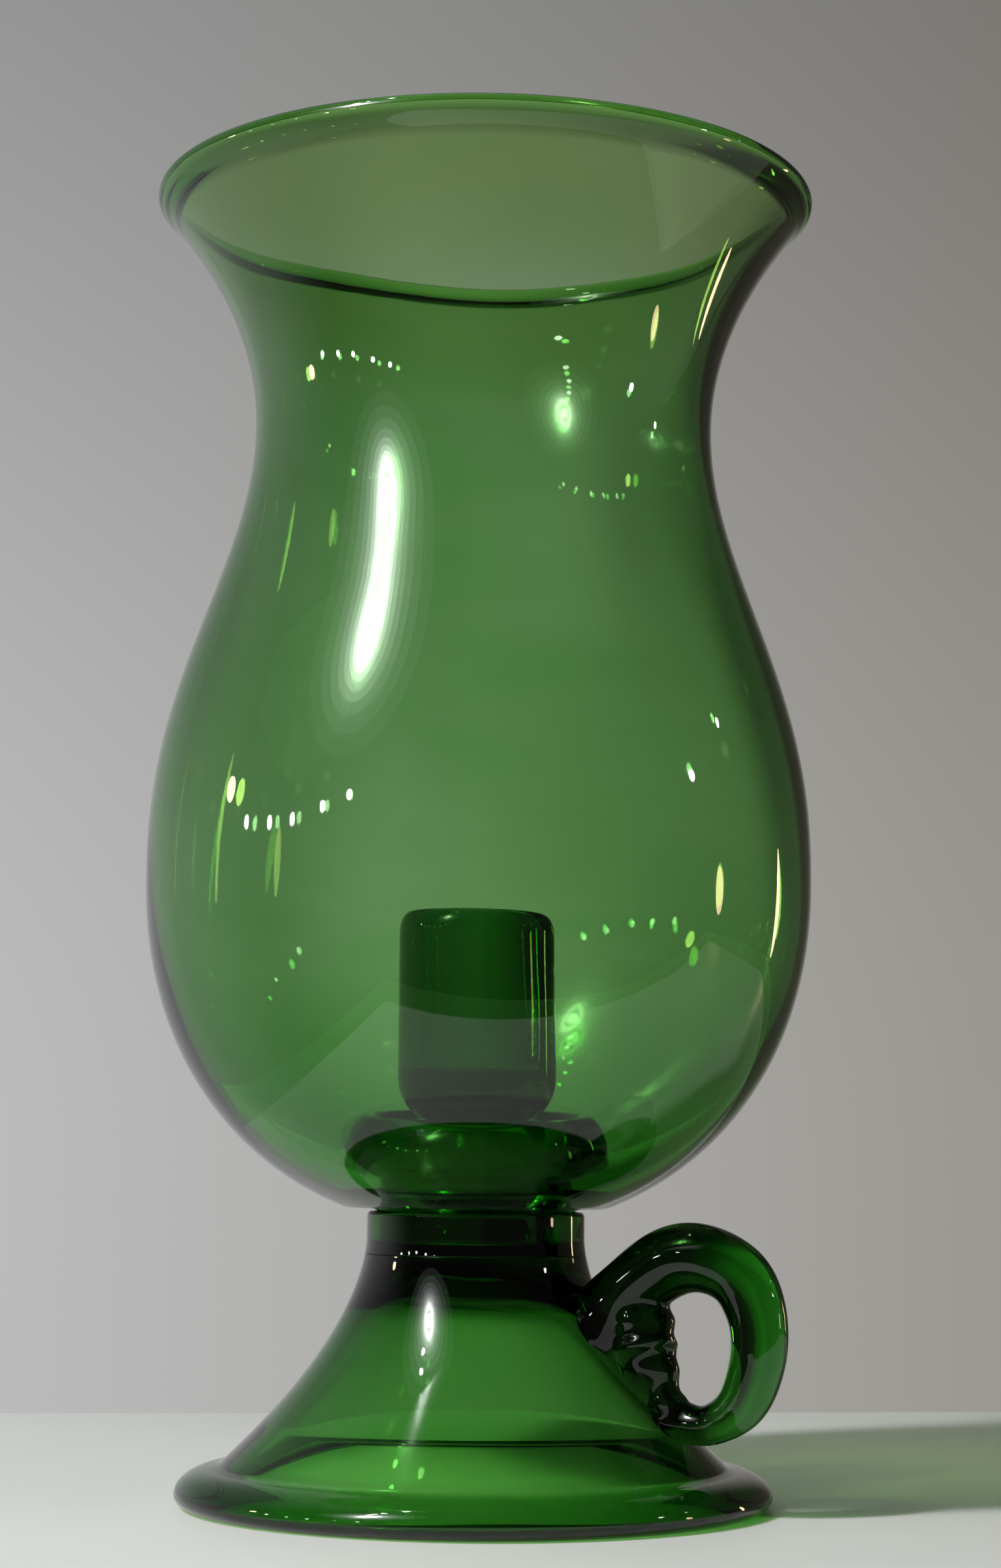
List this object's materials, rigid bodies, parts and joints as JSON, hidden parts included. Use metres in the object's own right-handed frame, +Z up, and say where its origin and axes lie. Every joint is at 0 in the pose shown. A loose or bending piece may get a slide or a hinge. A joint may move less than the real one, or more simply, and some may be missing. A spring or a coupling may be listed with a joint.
{
  "type": "hurricane candlestick",
  "caption": "Hand-blown green glass hurricane candlestick: bell foot with a finger loop, a collar round a candle cup, and a loose flared shade that lifts off",
  "frame": {"origin": "under the middle of the foot, on the table", "axes": "+Z up along the candlestick's middle line; +X from the middle towards the finger loop; +Y to the left when looking along +X"},
  "size_m": [0.124, 0.124, 0.2434],
  "materials": {
    "foot_glass": "hand-blown, fire-polished",
    "collar_glass": "hand-worked, fire-polished",
    "cup_glass": "hand-worked, fire-polished",
    "loop_glass": "hand-trailed, fire-polished",
    "shade_glass": "hand-blown, fire-polished"
  },
  "bodies": {
    "base": {"bell_foot": "foot_glass", "collar": "collar_glass", "candle_cup": "cup_glass", "handle": "loop_glass"},
    "shade": {"hurricane_shade": "shade_glass"}
  },
  "joints": [
    {"name": "shade_lift", "type": "slide", "parent": "base", "child": "shade", "axis": [0, 0, 1], "range_m": [0, 0.07]}
  ]
}
